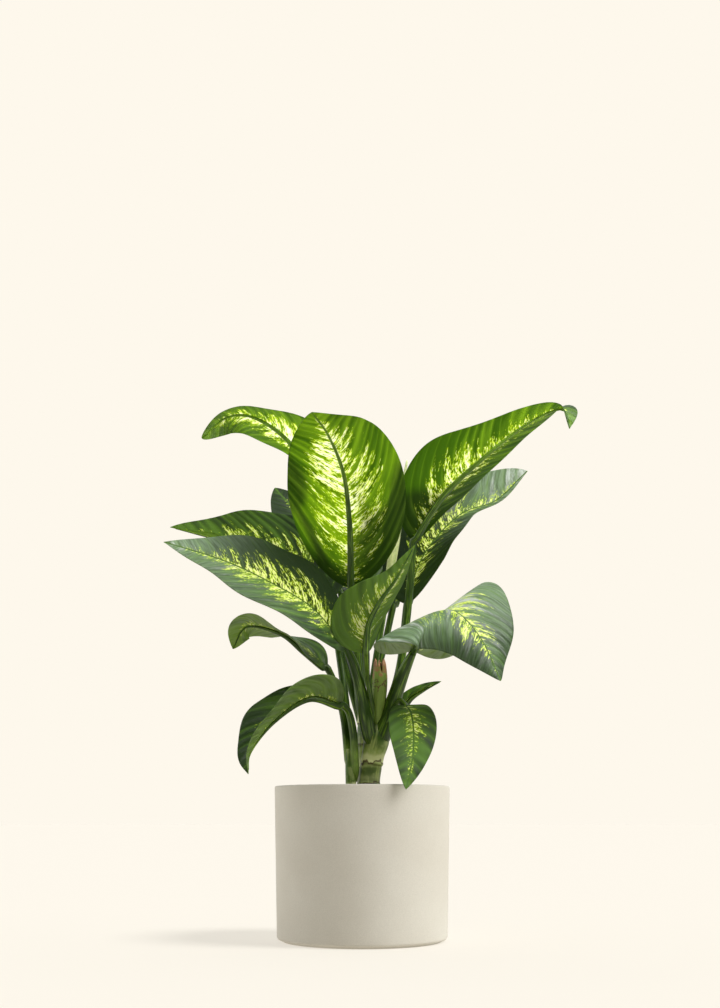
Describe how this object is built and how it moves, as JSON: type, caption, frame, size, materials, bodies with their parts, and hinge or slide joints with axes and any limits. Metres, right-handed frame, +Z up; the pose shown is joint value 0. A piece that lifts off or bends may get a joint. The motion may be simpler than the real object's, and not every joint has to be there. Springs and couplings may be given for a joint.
{
  "type": "potted dieffenbachia plant",
  "caption": "Leafy foliage plant with arching variegated leaves on stout canes, growing in a plain round stoneware pot filled with soil.",
  "frame": {"origin": "middle of the pot's flat foot, on the surface it stands on", "axes": "+Z up along the pot's axis, towards the leaves; -Y is the front that the picture shows, +X its right"},
  "size_m": [0.4718, 0.4126, 0.6163],
  "materials": {
    "stoneware": "matte",
    "soil": "matte",
    "cane": "satin",
    "sheath": "satin",
    "young_leaf": "satin",
    "leaf": "satin"
  },
  "bodies": {
    "root": {"pot": "stoneware", "soil": "soil", "main_cane": "cane", "side_shoot": "cane", "back_cane": "cane", "cut_sheath": "sheath", "rolled_leaf": "young_leaf", "leaf_front": "leaf", "leaf_upper_right": "leaf", "leaf_right": "leaf", "leaf_right_drooping": "leaf", "leaf_front_small": "leaf", "leaf_left_low": "leaf", "leaf_left_back": "leaf", "leaf_top_left": "leaf", "leaf_rear_small": "leaf", "leaf_left_twisted": "leaf", "leaf_left_arching": "leaf", "leaf_right_low": "leaf", "leaf_right_tiny": "leaf", "leaf_rear_upright": "leaf", "leaf_rear_right": "leaf", "leaf_rear_left": "leaf"}
  },
  "joints": []
}
